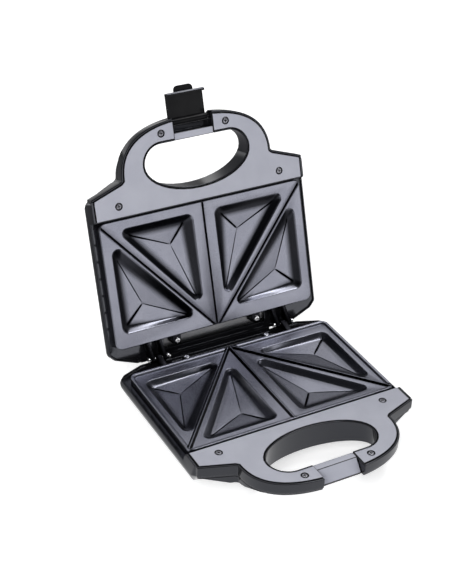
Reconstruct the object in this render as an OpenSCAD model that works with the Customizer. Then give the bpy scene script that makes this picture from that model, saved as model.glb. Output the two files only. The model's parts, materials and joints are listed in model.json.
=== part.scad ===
// Two-slice sandwich toaster, drawn open as it stands on a worktop.
// Base and lid are one half design: y runs from the hinge axis to the handle,
// and z runs down from the parting plane where the two halves meet.

/* [Body] */
// Overall width of a half at its widest line
body_w = 235; // [225:1:245]
// Front wall of the body, from the hinge axis
body_front = 165.5; // [163:0.5:168]
// Rear wall behind the hinge axis
body_rear = 4; // [3:0.5:5]
// Depth of a half below the parting plane
body_h = 33; // [31:1:38]
// How far the bottom edge of the belly is drawn in
belly_in = 13; // [10:0.5:14]
// Depth at which the belly starts to draw in
belly_from = 11; // [10.5:0.5:13]
// How far the bottom edge is drawn in under the handle
front_in = 19; // [16:0.5:22]
// Wall thickness of the housings
wall = 2.4; // [2:0.1:3]
// Side rim, below the parting plane
rim_drop = 7.5; // [6.5:0.1:8.5]
// Rear rim, below the parting plane
rear_rim_drop = 3.4; // [3:0.1:5]
// Ledge that carries the plate, below the parting plane
seat_drop = 9.5; // [9:0.1:10.2]
// Thickness of that ledge
ledge_t = 1.8; // [1.2:0.1:2]

/* [Handle] */
// Half width of the grip cover
grip_half_w = 78.5; // [74:0.5:82]
// Front edge of the grip cover, from the hinge axis
grip_front = 226; // [222:0.5:230]
// Centre of the grip curve, from the hinge axis
grip_mid = 175; // [173:0.5:177]
// Squareness of the grip curve
grip_power = 2.6; // [2.2:0.1:3]
// Shoulders of the cover, inside the body's widest line
shoulder_in = 5.5; // [3.5:0.5:8]
// Front corner of the shoulders, from the hinge axis
shoulder_front = 165; // [162:0.5:166]
// Straight back edge of the cover, from the hinge axis
cover_back = 144.8; // [144:0.1:147]
// Thickness of the cover
cover_t = 2.7; // [2.2:0.1:3]
// Rim of the housing round the cover
rim_w = 2; // [1.6:0.1:2.4]
// Lip of the housing round the finger opening
lip_w = 2; // [1.6:0.1:2.4]
// Height of the grip
grip_h = 14; // [13.5:0.5:16]
// Half width of the finger opening
finger_half_w = 57.3; // [54:0.1:59]
// Front edge of the finger opening, from the hinge axis
finger_front = 208.4; // [206:0.1:209]
// Widest line of the finger opening, from the hinge axis
finger_mid = 187.5; // [186:0.5:189]
// Back edge of the finger opening, from the hinge axis
finger_back = 157.3; // [156:0.1:160]

/* [Plates] */
// Plate, inside the body's widest line
plate_in = 7.2; // [6.8:0.1:8]
// Rear edge of a plate, from the hinge axis
plate_back = 15.8; // [15:0.1:17]
// Front edge of a plate, from the hinge axis
plate_front = 142.8; // [141:0.1:142.8]
// Corner radius of a plate
plate_r = 7; // [5:0.5:9]
// Flat face of a plate, below the parting plane
face_drop = 2.2; // [2:0.1:2.6]
// Thickness of the casting
plate_t = 2.5; // [2.2:0.1:3]
// Deepest point of a pocket, below the parting plane
pocket_drop = 8.3; // [7.5:0.1:8.8]
// Width at its foot of a ridge that divides the lower plate
ridge_w = 3.4; // [2.6:0.1:4]
// Width of the groove over it in the upper plate
groove_w = 2.4; // [2:0.1:3]
// Width of the raised rim of the lower plate
plate_rim_w = 3.3; // [2.5:0.1:4]

/* [Hinge] */
// Hinge axis below the parting plane of the base
hinge_drop = 3.4; // [3.2:0.1:3.6]
// Angle between the two halves when the lid stands open
open_angle = 108.5; // [104:0.5:109]
// Radius of the hinge pins
pin_r = 2; // [1.8:0.1:2.2]
// Radius of the hinge barrels
barrel_r = 3.6; // [3.4:0.1:3.8]
// Middle of each hinge, from the side of the body
hinge_in = 47; // [44.5:0.5:49.5]
// Width of the knuckle cast on the lower plate
knuckle_w = 6; // [5:0.5:7]
// Width of each ear cast on the upper plate
ear_w = 4; // [3:0.5:5]
// Gap between knuckle and ear, where the pin shows
ear_gap = 1.5; // [1:0.1:2]

/* [Latch] */
// Half width of the notch in the grip
notch_half_w = 21.2; // [20.5:0.1:23]
// Width of the latch
latch_w = 39.6; // [38:0.2:40]
// Latch pivot, from the hinge axis
pivot_y = 222.6; // [221.6:0.1:223.6]
// Latch pivot behind the face of the lid
pivot_drop = 11; // [10.6:0.1:11.4]
// Radius of the latch pin
latch_pin_r = 1.5; // [1.3:0.1:1.7]
// Thickness of the latch
latch_t = 2.2; // [2:0.1:2.6]
// How far the hook reaches under the base grip
hook_reach = 7.6; // [7:0.1:8]
// Length of the thumb tab beyond the hook
thumb_l = 6; // [5:0.5:8]

/* [Feet] */
// Height of the rubber feet
foot_h = 7; // [6:0.5:9]
// Radius of the rubber feet
foot_r = 6.5; // [5.5:0.5:7]
// Feet from the centre line
foot_x = 72; // [66:1:76]
// Front feet, from the hinge axis
foot_front_y = 147.5; // [144:0.5:149]
// Rear feet, from the hinge axis
foot_rear_y = 18; // [17:1:24]

/* [Heating] */
// Radius of the heating rod
rod_r = 3.3; // [3:0.1:3.5]
// Half distance between the legs of the heating rod
rod_x = 70; // [66:1:74]
// Bore of the cord gland
cord_r = 3.3; // [3:0.1:3.6]
// Cord gland from the centre line
gland_x = 30; // [24:1:34]

/* [Hidden] */

// Clearances
cover_gap = 0.5;
cover_drop = 0.2;
seat_gap = 0.1;
run_gap = 0.06;
press_gap = 0.02;
stop_gap = 0.3;
cut = 1;

// Body and plate across
half_w = body_w / 2;
hinge_x = half_w - hinge_in;
shoulder_half_w = half_w - shoulder_in;
plate_half_w = half_w - plate_in;

// Rounding of the body's upright corners
corner_r = 5;

// Rear rim: half widths in the base, clear of the hinges, and in the lid
rear_rim_base = hinge_x - 14.5;
rear_rim_lid = half_w - 31.5;

// Window in the ledge at the hinge side, where the tray's flange shows
window_half_w = hinge_x - 13.5;
window_back = 3.5;

// Underside of the handle: it rises from the belly to the grip
keel_drop = 29;
keel_back = 146;
keel_front = 210;
keel_half_w = shoulder_half_w - 12;
keel_step = 0.4;

// Levels of the cover and the ledge under it
cover_under = cover_drop + cover_t;
rim_top = 0.6;
grip_taper = 1.5;
ledge_w = 2.2;
well_front = cover_back - 1.6;
ledge_under = seat_drop + ledge_t;
floor_top = body_h - wall;

// Heating stack below a plate
boss_under = pocket_drop + plate_t;
rod_z = boss_under + seat_gap + rod_r;
tray_top = rod_z + rod_r + seat_gap;
tray_t = 1;
tray_in = 11;
tray_under = tray_top + tray_t;
post_r = 3.5;
post_x = half_w - 29.5;
posts = [for (x = [-post_x, post_x], y = [44, 112]) [x, y]];

// Screws of the covers and plates
grip_screw = [34.7, 216];
shoulder_screw = [shoulder_half_w - 24.4, 155.8];
cover_screws = [for (s = [-1, 1], p = [grip_screw, shoulder_screw]) [s * p.x, p.y]];
cover_post_r = 4.2;
plate_screws = [[-45, 10.5], [45, 10.5]];
plate_post_r = 4.6;
screw_r = 1.5;
head_r = 3.1;
head_t = 1.8;
cover_screw_l = 9;
plate_screw_l = 11;
pilot_l = 8.5;
groove_t = 1.3;
lug_top = 4;
lug_t = 3;

// Tongues that hold the front edge of each plate
tongue_x = 60;
tongue_w = 20;
tongue_high = 5.5;
tongue_low = 7.5;
slot_gap = 0.2;

// Notch of the grip and its keeper ramp in the base
strip_drop = 1.6;
strip_front = grip_front - 12.5;
notch_reach = grip_front - strip_front + 27.5;
ramp_foot = pivot_y + 0.4;
ramp_drop = 12.5;
ramp_t = 1.7;
notch_wall = 2.4;

// Heating rod in plan
rod_bend = 25;
rod_front = 118;
rod_back = 38;

// Cord gland, stems of the feet, signal lamps
gland_r = 5.2;
gland_boss_r = 8;
gland_boss_l = 12;
gland_nut_r = 7.6;
gland_z = floor_top - 8;
stem_r = 2.5;
foot_boss_r = 7;
foot_boss_l = 10;
lens_x = [-9, 9];
lens_y = 128;
lens_r = 3.5;

// Latch
latch_pin_l = 2 * (notch_half_w + notch_wall);
latch_barrel_r = 3.2;
latch_off = 1.6;
hook_t = 2;
latch_reach = pivot_drop + grip_h + stop_gap + hook_t;
latch_end = latch_reach + thumb_l;

// Place of the two halves in the part's own frame
part_z = body_h + foot_h;
hinge_z = part_z - hinge_drop;
front_reach = grip_mid + cover_gap + rim_w + (grip_front - grip_mid)
    * pow(1 - pow(notch_half_w / grip_half_w, grip_power), 1 / grip_power);
rear_reach = -(pivot_y + latch_end) * cos(open_angle)
    + (hinge_drop + pivot_drop + latch_off + latch_t) * sin(open_angle);
hinge_y = (front_reach - rear_reach) / 2;

module in_base() {
    translate([0, hinge_y, part_z]) mirror([0, 1, 0]) children();
}

module in_lid() {
    translate([0, hinge_y, hinge_z]) rotate([-open_angle, 0, 0])
        translate([0, 0, hinge_drop]) mirror([0, 0, 1]) mirror([0, 1, 0]) children();
}

// A solid from depth low up to depth high below the parting plane
module slab(high, low) {
    translate([0, 0, -low]) linear_extrude(low - high) children();
}

module both_sides() {
    children();
    mirror([1, 0, 0]) children();
}

// Outlines in the plane of a half
module body_outline(front_y = body_front) {
    corner = [[half_w, 11], [half_w - 6.5, 4.5], [half_w - 13, 2], [half_w - 29, -body_rear]];
    front = [[half_w - 4, front_y], [half_w, front_y - 4]];
    right = concat(front, corner);
    offset(r = corner_r, $fn = 24) offset(delta = -corner_r)
        polygon(concat(right, [for (i = [5:-1:0]) [-right[i].x, right[i].y]]));
}

function curve(t) = [
    grip_half_w * sign(cos(t)) * pow(abs(cos(t)), 2 / grip_power),
    grip_mid + (grip_front - grip_mid) * pow(sin(t), 2 / grip_power)];

module cover_outline() {
    shoulder = [[shoulder_half_w, cover_back], [shoulder_half_w, shoulder_front],
        [grip_half_w + 3, grip_mid + 0.4]];
    polygon(concat(shoulder, [for (i = [0:36]) curve(1.5 + 177 * i / 36)],
        [for (i = [2:-1:0]) [-shoulder[i].x, shoulder[i].y]]));
}

module finger_outline() {
    r = finger_front - finger_mid;
    polygon(concat(
        [for (t = [180:9:360]) [finger_half_w * cos(t),
            finger_mid + (finger_mid - finger_back) * sin(t)]],
        [for (t = [9:9:90]) [finger_half_w - r + r * cos(t), finger_mid + r * sin(t)]],
        [for (t = [90:9:171]) [r - finger_half_w + r * cos(t), finger_mid + r * sin(t)]]));
}

module plate_outline(inset = 0) {
    w = plate_half_w - inset;
    back = plate_back + inset;
    front = plate_front - inset;
    r = max(plate_r - inset, 1);
    translate([-w + r, back]) square([2 * (w - r), front - back]);
    translate([-w, back + r]) square([2 * w, front - back - 2 * r]);
    for (x = [r - w, w - r], y = [back + r, front - r]) translate([x, y]) circle(r, $fn = 32);
}

// The belly: straight walls, then a curve that draws in to the bottom
function belly_inset(h) = h < belly_from
    ? 2.7 * max(0, 1 - h / 8)
    : belly_in * pow((h - belly_from) / (body_h - belly_from), 1.6);

// Front wall of the belly, which leans back under the handle
function front_line(h) = body_front - front_in * max(0, h - belly_from) / (body_h - belly_from);

module belly(inset, high, low, levels) {
    hull() for (h = concat([high, max(high, belly_from)],
            [for (i = [1:levels]) belly_from + (low - belly_from) * i / levels]))
        translate([0, 0, -h]) linear_extrude(0.01) offset(delta = -inset - belly_inset(h))
            body_outline(front_line(h) + belly_inset(h));
}

module grip_block() {
    foot = 3;
    slab(rim_top, grip_h - foot) offset(delta = cover_gap + rim_w) cover_outline();
    slab(grip_h - foot, grip_h) offset(delta = cover_gap + rim_w - grip_taper) cover_outline();
}

// The handle's underside between the belly and the grip
module keel(inset, side) {
    intersection() {
        hull() {
            slab(cover_under, grip_h - inset - keel_step) intersection() {
                offset(delta = side) cover_outline();
                translate([-body_w, 0]) square([2 * body_w, keel_front]);
            }
            slab(cover_under, keel_drop - inset) translate([-keel_half_w, keel_back - 10])
                square([2 * keel_half_w, 10]);
        }
        slab(cover_under, keel_drop) offset(delta = side) cover_outline();
    }
}

// Where the strip of the cover takes the place of the lip, up to the edge of the finger opening
module strip_outline(side_gap = 0, edge_gap = 1) {
    translate([side_gap - notch_half_w, finger_front - lip_w - edge_gap])
        square([2 * (notch_half_w - side_gap), strip_front - finger_front + lip_w + edge_gap]);
}

module notch_band(half_w) {
    translate([-half_w, finger_front]) square([2 * half_w, 40]);
}

// Room inside a half: plate well, belly, tray under the cover
module half_room() {
    slab(-cut, seat_drop) intersection() {
        offset(delta = -wall) body_outline();
        translate([-body_w, -body_w]) square([2 * body_w, body_w + well_front]);
    }
    slab(seat_drop - cut, ledge_under + cut) plate_outline(ledge_w);
    belly(wall, ledge_under, floor_top, 4);
    slab(seat_drop - cut, ledge_under + cut) translate([-window_half_w, window_back])
        square([2 * window_half_w, plate_back]);
    slab(-cut, cover_under) difference() {
        offset(delta = cover_gap) cover_outline();
        offset(delta = -cover_gap) finger_outline();
    }
    slab(cover_under, grip_h - wall) difference() {
        offset(delta = cover_gap - ledge_w) cover_outline();
        translate([-body_w, 0]) square([2 * body_w, cover_back + 0.4]);
    }
    keel(wall, cover_gap - ledge_w - keel_step);
}

// What stands inside that room
module half_posts() {
    slab(cover_under, body_h) offset(delta = ledge_w) finger_outline();
    slab(cover_under, keel_drop) notch_band(notch_half_w + notch_wall);
    for (p = cover_screws) translate([p.x, p.y, -body_h])
        cylinder(r = cover_post_r, h = body_h - cover_under, $fn = 32);
    for (p = plate_screws) translate([p.x, p.y, -body_h])
        cylinder(r = plate_post_r, h = body_h - lug_top - lug_t, $fn = 32);
    for (p = posts) translate([p.x, p.y, -body_h])
        cylinder(r = post_r, h = body_h - tray_under, $fn = 32);
    for (s = [-1, 1], k = [0:5]) translate([s * (half_w - 4.3), 38 + 16.8 * k, -seat_drop])
        cylinder(r = 0.7, h = 0.8, $fn = 16);
}

// What is cut off above the side rim, leaving the rear rim higher
module over_rim(rear_half_w) {
    slab(-cut, rim_drop) difference() {
        translate([-body_w, -body_w]) square([2 * body_w, body_w + well_front]);
        translate([-rear_half_w, -body_w]) square([2 * rear_half_w, body_w + 2]);
    }
    slab(-cut, rear_rim_drop) translate([-body_w, -body_w]) square([2 * body_w, body_w + 2]);
    slab(-cut, cover_under) translate([-body_w, well_front - cut])
        square([2 * body_w, cover_back - 0.2 - well_front + cut]);
}

// One half shell; children are cut out of it last
module half_shell(rear_half_w) {
    difference() {
        union() {
            belly(0, rim_top, body_h, 9);
            grip_block();
            keel(0, cover_gap + rim_w - grip_taper - keel_step);
        }
        difference() {
            half_room();
            half_posts();
        }
        over_rim(rear_half_w);
        slab(-cut, body_h + cut) offset(delta = -lip_w) finger_outline();
        for (p = cover_screws) translate([p.x, p.y, -cover_under - pilot_l])
            cylinder(r = screw_r + press_gap, h = pilot_l + cut, $fn = 24);
        for (p = plate_screws) translate([p.x, p.y, -lug_top - lug_t - pilot_l])
            cylinder(r = screw_r + press_gap, h = pilot_l + cut, $fn = 24);
        for (x = [-tongue_x, tongue_x]) translate([x - tongue_w / 2 - slot_gap, well_front - cut,
                -tongue_low - slot_gap])
            cube([tongue_w + 2 * slot_gap, 5, tongue_low - tongue_high + 2 * slot_gap]);
        children();
    }
}

// Ribs on the back wall of the base that the open lid's rim leans on
module lid_stops() {
    reach = hinge_drop + rear_rim_drop - stop_gap;
    both_sides() translate([44, 0, -hinge_drop]) difference() {
        translate([0, -body_rear - 8, -14]) cube([12, 9, 9]);
        mirror([0, 1, 0]) rotate([-open_angle, 0, 0]) translate([-1, -30, reach]) cube([14, 60, 30]);
        translate([-1, -body_rear - 8, -14]) rotate([40, 0, 0]) translate([0, -10, -10]) cube([14, 20, 10]);
    }
}

module base_housing() color("#141416") in_base() {
    difference() {
        union() {
            half_shell(rear_rim_base) {
                // Notch for the latch, with the keeper ramp at its back
                translate([-notch_half_w, 0, 0]) rotate([90, 0, 90]) linear_extrude(2 * notch_half_w)
                    polygon([[strip_front, cut], [strip_front, -cover_under],
                        [ramp_foot, -ramp_drop - ramp_t], [ramp_foot, -grip_h - cut],
                        [front_reach + 2 * cut, -grip_h - cut], [front_reach + 2 * cut, cut]]);
                slab(-cut, cover_under) strip_outline();
            }
            lid_stops();
            translate([gland_x, gland_boss_l, -gland_z]) rotate([90, 0, 0])
                cylinder(r = gland_boss_r, h = gland_boss_l + body_rear, $fn = 48);
            for (x = [-foot_x, foot_x]) translate([x, foot_front_y, -body_h])
                cylinder(r = foot_boss_r, h = foot_boss_l, $fn = 48);
        }
        translate([gland_x, gland_boss_l + cut, -gland_z]) rotate([90, 0, 0])
            cylinder(r = gland_r + press_gap, h = 2 * gland_boss_l, $fn = 48);
        for (x = [-foot_x, foot_x]) translate([x, foot_front_y, wall - body_h])
            cylinder(r = stem_r + 1.5, h = foot_boss_l, $fn = 32);
        for (x = [-foot_x, foot_x], y = [foot_front_y, foot_rear_y])
            translate([x, y, -body_h - cut]) cylinder(r = stem_r + press_gap, h = wall + 2 * cut, $fn = 32);
    }
}

module lid_housing() color("#141416") in_lid() difference() {
    half_shell(rear_rim_lid) {
        slab(-cut, grip_h - wall) translate([-notch_half_w, strip_front])
            square([2 * notch_half_w, notch_reach]);
        slab(-cut, grip_h + cut) translate([-notch_half_w, pivot_y - latch_barrel_r - 0.4])
            square([2 * notch_half_w, notch_reach]);
        slab(-cut, cover_under) strip_outline();
    }
    translate([-latch_pin_l / 2, pivot_y, -pivot_drop]) rotate([0, 90, 0])
        cylinder(r = latch_pin_r + press_gap, h = latch_pin_l, $fn = 32);
    for (x = lens_x) translate([x, lens_y, -body_h - cut])
        cylinder(r = lens_r + press_gap, h = 3 * wall, $fn = 32);
}

// Satin cover of the grip; the strip lies lower where the notch crosses it
module half_cover() {
    slab(strip_drop, cover_under) strip_outline(0.1, 0);
    difference() {
        slab(cover_drop, cover_under) difference() {
            cover_outline();
            finger_outline();
            translate([-notch_half_w, strip_front]) square([2 * notch_half_w, notch_reach]);
        }
        slab(-cut, strip_drop) notch_band(notch_half_w);
        for (p = cover_screws) translate([p.x, p.y, -cover_under - cut]) {
            cylinder(r = screw_r + 0.1, h = 10, $fn = 24);
            translate([0, 0, cut + cover_t - head_t]) cylinder(r = head_r + 0.2, h = 10, $fn = 32);
        }
    }
}

module base_handle_cover() color("#5c5d63") in_base() {
    half_cover();
    // Keeper ramp that the latch slides over
    translate([-notch_half_w + 0.3, 0, 0]) rotate([90, 0, 90]) linear_extrude(2 * notch_half_w - 0.6)
        polygon([[strip_front - 2, -strip_drop], [strip_front, -strip_drop],
            [ramp_foot, -ramp_drop], [ramp_foot, -ramp_drop - ramp_t],
            [strip_front, -cover_under], [strip_front - 2, -cover_under]]);
}

module lid_handle_cover() color("#5c5d63") in_lid() half_cover();

// Pan-head screw with a cross recess, standing on z = 0
module screw(length) {
    difference() {
        union() {
            cylinder(r = head_r, h = head_t - 0.5, $fn = 32);
            translate([0, 0, head_t - 0.5]) cylinder(r = head_r - 0.5, h = 0.5, $fn = 32);
            translate([0, 0, -length]) cylinder(r = screw_r, h = length, $fn = 24);
        }
        for (a = [0, 90]) rotate(a) translate([-1.6, -0.35, head_t - 0.9]) cube([3.2, 0.7, 2]);
    }
}

module cover_screw_set() {
    for (p = cover_screws) translate([p.x, p.y, -cover_under + cover_t - head_t]) screw(cover_screw_l);
}

module plate_screw_set() {
    for (p = plate_screws) translate([p.x, p.y, -lug_top]) screw(plate_screw_l);
}

module base_cover_screws() color("silver") in_base() cover_screw_set();

module lid_cover_screws() color("silver") in_lid() cover_screw_set();

module lower_plate_screws() color("silver") in_base() plate_screw_set();

module upper_plate_screws() color("silver") in_lid() plate_screw_set();

// Pocket corners, drawn for this half width and moved with the plate's edge: rounded triangle at the
// face, sharp triangle where the facets start
drawn_half_w = 110.3;
function across(x) = x * plate_half_w / drawn_half_w;
front_rim = [[19, 126, 7], [82.2, 128, 5], [18, 52.6, 6]];
front_facet = [[22, 124], [78, 124.5], [16.5, 49]];
front_apex = [37, 106.4];
side_rim = [[93.8, 37.8, 7], [94.7, 108.9, 6], [30.3, 35.6, 5]];
side_facet = [[93.5, 38], [94, 102], [28, 32]];
side_apex = [74.7, 55];
facet_drop = 5;

module pocket(rim, facet, apex, top) {
    hull() {
        for (c = rim) translate([across(c.x), c.y, -face_drop])
            cylinder(r = c.z, h = face_drop + top, $fn = 32);
        for (c = rim) translate([across(c.x), c.y, -face_drop - 1.6])
            cylinder(r = c.z - 1.2, h = 1, $fn = 24);
        translate([0, 0, -facet_drop]) linear_extrude(0.01) polygon([for (c = facet) [across(c.x), c.y]]);
        translate([across(apex.x), apex.y, -pocket_drop]) cylinder(r = 0.1, h = 0.01, $fn = 16);
    }
}

module pocket_back(rim, facet) {
    slab(face_drop, boss_under) offset(delta = 2) polygon([for (c = facet) [across(c.x), c.y]]);
    slab(face_drop, facet_drop + plate_t) offset(delta = rim[0].z + 2)
        polygon([for (c = rim) [across(c.x), c.y]]);
}

// Lines that divide the plate, with a profile across them as the child
module divider(from, to) {
    run = to - from;
    translate([from.x, from.y, -face_drop]) rotate(atan2(run.y, run.x)) rotate([90, 0, 90])
        linear_extrude(norm(run)) children();
}

module dividers(out) {
    divider([0, plate_back - out], [0, plate_front + out]) children();
    both_sides() divider([1, plate_back - 1], [plate_half_w - 0.8 + out, plate_front - 2.8 + out]) children();
}

module ridge_profile() {
    crest = face_drop - cover_drop;
    polygon([[-ridge_w / 2, -0.5], [-ridge_w / 2, 0], [-0.4, crest], [0.4, crest],
        [ridge_w / 2, 0], [ridge_w / 2, -0.5]]);
}

module groove_profile() {
    polygon([[-groove_w / 2, cut], [-groove_w / 2, 0], [-0.5, -groove_t], [0.5, -groove_t],
        [groove_w / 2, 0], [groove_w / 2, cut]]);
}

// Arm from the skirt of a plate to a barrel on the hinge axis
module hinge_arm(x, width, axis_z, bore_r) {
    translate([x - width / 2, 0, 0]) rotate([90, 0, 90]) linear_extrude(width) difference() {
        union() {
            translate([0, axis_z]) circle(barrel_r, $fn = 48);
            polygon([[-1, axis_z + 2], [plate_back + 1, -face_drop - 1], [plate_back + 1, -seat_drop + 1],
                [4, -7], [-1, axis_z - 2.6]]);
        }
        translate([0, axis_z]) circle(bore_r, $fn = 48);
    }
}

module half_plate() {
    difference() {
        union() {
            slab(face_drop, face_drop + plate_t) plate_outline();
            slab(face_drop, seat_drop) difference() {
                plate_outline();
                plate_outline(3);
            }
            both_sides() {
                pocket_back(front_rim, front_facet);
                pocket_back(side_rim, side_facet);
                translate([tongue_x - tongue_w / 2, plate_front - 1, -tongue_low])
                    cube([tongue_w, cover_back + 1 - plate_front, tongue_low - tongue_high]);
            }
            for (p = plate_screws) {
                translate([p.x, p.y, -lug_top - lug_t]) cylinder(r = 4.6, h = lug_t, $fn = 32);
                translate([p.x - 4.6, p.y, -lug_top - lug_t]) cube([9.2, plate_back - p.y + 1, lug_t]);
            }
        }
        both_sides() {
            pocket(front_rim, front_facet, front_apex, cut);
            pocket(side_rim, side_facet, side_apex, cut);
        }
        for (p = plate_screws) translate([p.x, p.y, -lug_top - 5]) cylinder(r = screw_r + 0.1, h = 6, $fn = 24);
    }
}

module lower_plate() color("#3c3d42") in_base() {
    half_plate();
    slab(cover_drop, face_drop + 0.5) difference() {
        plate_outline();
        plate_outline(plate_rim_w);
    }
    intersection() {
        dividers(0) ridge_profile();
        slab(0, face_drop + 1) plate_outline(0.4);
    }
    both_sides() hinge_arm(hinge_x, knuckle_w, -hinge_drop, pin_r + press_gap);
}

module upper_plate() color("#3c3d42") in_lid() {
    difference() {
        half_plate();
        dividers(2) groove_profile();
    }
    both_sides() for (s = [-1, 1])
        hinge_arm(hinge_x + s * (knuckle_w / 2 + ear_gap + ear_w / 2), ear_w, hinge_drop, pin_r + run_gap);
}

module hinge_pin(side) {
    reach = knuckle_w / 2 + ear_gap + ear_w + 1.2;
    in_base() translate([side * hinge_x, 0, -hinge_drop]) rotate([0, 90, 0]) {
        translate([0, 0, -reach]) cylinder(r = pin_r, h = 2 * reach, $fn = 48);
        for (s = [-1, 1]) translate([0, 0, s * (reach + 0.6) - 0.6]) cylinder(r = pin_r + 1, h = 1.2, $fn = 48);
    }
}

module hinge_pin_left() color("silver") hinge_pin(-1);

module hinge_pin_right() color("silver") hinge_pin(1);

// Heating rod: a rounded U with its cold ends at the hinge side
module rod_path(r) {
    translate([0, 0, -rod_z]) {
        both_sides() {
            translate([rod_x, rod_back, 0]) rotate([-90, 0, 0])
                cylinder(r = r, h = rod_front - rod_bend - rod_back, $fn = 32);
            translate([rod_x - rod_bend, rod_front - rod_bend, 0])
                rotate_extrude(angle = 90, $fn = 48) translate([rod_bend, 0]) circle(r, $fn = 32);
            translate([rod_x, rod_back - 8, 0]) rotate([-90, 0, 0]) cylinder(r = 1.5, h = 9, $fn = 24);
        }
        translate([rod_bend - rod_x, rod_front, 0]) rotate([0, 90, 0])
            cylinder(r = r, h = 2 * (rod_x - rod_bend), $fn = 32);
    }
}

module lower_heater() color("#8a8580") in_base() rod_path(rod_r);

module upper_heater() color("#8a8580") in_lid() rod_path(rod_r);

// Pressed steel tray under the rod; its turned-up edge and rear flange come to the ledge
module reflector() {
    high = ledge_under + seat_gap;
    difference() {
        slab(high, tray_under) plate_outline(tray_in);
        slab(ledge_under - cut, tray_top) plate_outline(tray_in + tray_t);
    }
    slab(high, high + tray_t) difference() {
        translate([-window_half_w - 3, window_back - 2])
            square([2 * window_half_w + 6, plate_back + tray_in - window_back + 2.5]);
        for (p = plate_screws) translate([p.x, p.y]) circle(5, $fn = 32);
    }
}

module lower_reflector() color("#b9bbbe") in_base() reflector();

module upper_reflector() color("#b9bbbe") in_lid() reflector();

module foot(x, y) color("#202022") in_base() translate([x, y, -body_h - foot_h]) {
    cylinder(r = foot_r - 0.6, h = 1, $fn = 48);
    translate([0, 0, 1]) cylinder(r = foot_r, h = foot_h - 1, $fn = 48);
    cylinder(r = stem_r, h = foot_h + wall, $fn = 32);
    translate([0, 0, foot_h + wall]) cylinder(r = stem_r + 0.8, h = 1.6, $fn = 32);
}

module foot_front_left() foot(-foot_x, foot_front_y);

module foot_front_right() foot(foot_x, foot_front_y);

module foot_rear_left() foot(-foot_x, foot_rear_y);

module foot_rear_right() foot(foot_x, foot_rear_y);

// Cord gland in the back wall of the base, with its nut inside
module cord_gland() color("#202022") in_base() translate([gland_x, 0, -gland_z]) rotate([90, 0, 0])
    difference() {
        union() {
            translate([0, 0, -17]) cylinder(r = gland_r, h = 17 + body_rear, $fn = 48);
            translate([0, 0, body_rear]) cylinder(r = gland_r + 2.3, h = 1.6, $fn = 48);
            translate([0, 0, body_rear + 1.6]) cylinder(r = gland_r, h = 3, $fn = 48);
        }
        translate([0, 0, -18]) cylinder(r = cord_r, h = 40, $fn = 48);
    }

module gland_nut() color("#202022") in_base() translate([gland_x, gland_boss_l, -gland_z])
    rotate([-90, 0, 0]) difference() {
        cylinder(r = gland_nut_r, h = 3.5, $fn = 6);
        translate([0, 0, -1]) cylinder(r = gland_r + press_gap, h = 6, $fn = 48);
    }

module terminal_block() color("#e4e0d6") in_base() translate([-20, 24, -floor_top]) difference() {
    cube([30, 16, floor_top - tray_under - 0.5]);
    for (k = [0:2]) translate([5 + 10 * k, -1, 5]) rotate([-90, 0, 0]) cylinder(r = 2, h = 18, $fn = 24);
}

// Small parts strapped to the backs of the plates, between the pockets
module thermal_fuse() color("#d8d2c4") in_base() {
    translate([0, 70, -face_drop - plate_t - seat_gap - 2.5]) rotate([-90, 0, 0])
        cylinder(r = 2.5, h = 14, $fn = 32);
    translate([0, 62, -face_drop - plate_t - seat_gap - 2.5]) rotate([-90, 0, 0])
        cylinder(r = 0.6, h = 30, $fn = 16);
}

module thermostat() color("#d8d2c4") in_lid() translate([0, 78, -face_drop - plate_t]) {
    translate([0, 0, -4]) cylinder(r = 8, h = 4, $fn = 48);
    translate([0, 0, -10]) cylinder(r = 6.5, h = 6, $fn = 48);
    translate([-6, -1, -12]) cube([12, 2, 3]);
}

module lens(x) in_lid() translate([x, lens_y, -body_h]) {
    translate([0, 0, -1.2]) cylinder(r = lens_r + 1, h = 1.2, $fn = 32);
    cylinder(r = lens_r, h = wall + 1, $fn = 32);
}

module lamp(x) in_lid() translate([x, lens_y, -floor_top + 1]) {
    cylinder(r = 2.6, h = 5.5, $fn = 32);
    for (s = [-1, 1]) translate([s, 0, 5.5]) cylinder(r = 0.35, h = 2.5, $fn = 16);
}

module power_lens() color("#c02818") lens(lens_x[0]);

module ready_lens() color("#30a040") lens(lens_x[1]);

module power_lamp() color("#e8a070") lamp(lens_x[0]);

module ready_lamp() color("#a8d8a0") lamp(lens_x[1]);

module latch_pin() color("silver") in_lid() translate([-latch_pin_l / 2, pivot_y, -pivot_drop])
    rotate([0, 90, 0]) cylinder(r = latch_pin_r, h = latch_pin_l, $fn = 32);

// Clip that swings over the notch; its hook grips the underside of the base handle
module latch() color("#1c1c1e") in_lid() translate([0, pivot_y, -pivot_drop]) difference() {
    union() {
        translate([-latch_w / 2, 0, 0]) rotate([0, 90, 0]) cylinder(r = latch_barrel_r, h = latch_w, $fn = 48);
        translate([-latch_w / 2, 0, -latch_off - latch_t]) cube([latch_w, latch_reach, latch_t]);
        translate([-latch_w / 2, latch_reach - hook_t, -latch_off - latch_t])
            cube([latch_w, hook_t, hook_reach]);
        translate([-10, latch_reach - 1, -latch_off - latch_t]) cube([20, thumb_l + 1 - 4, latch_t]);
        translate([-6, latch_reach - 1, -latch_off - latch_t]) cube([12, thumb_l + 1, latch_t]);
        for (s = [-1, 1]) translate([s * 6, latch_end - 4, -latch_off - latch_t])
            cylinder(r = 4, h = latch_t, $fn = 32);
    }
    translate([-latch_w / 2 - 1, 0, 0]) rotate([0, 90, 0])
        cylinder(r = latch_pin_r + run_gap, h = latch_w + 2, $fn = 32);
}

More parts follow.
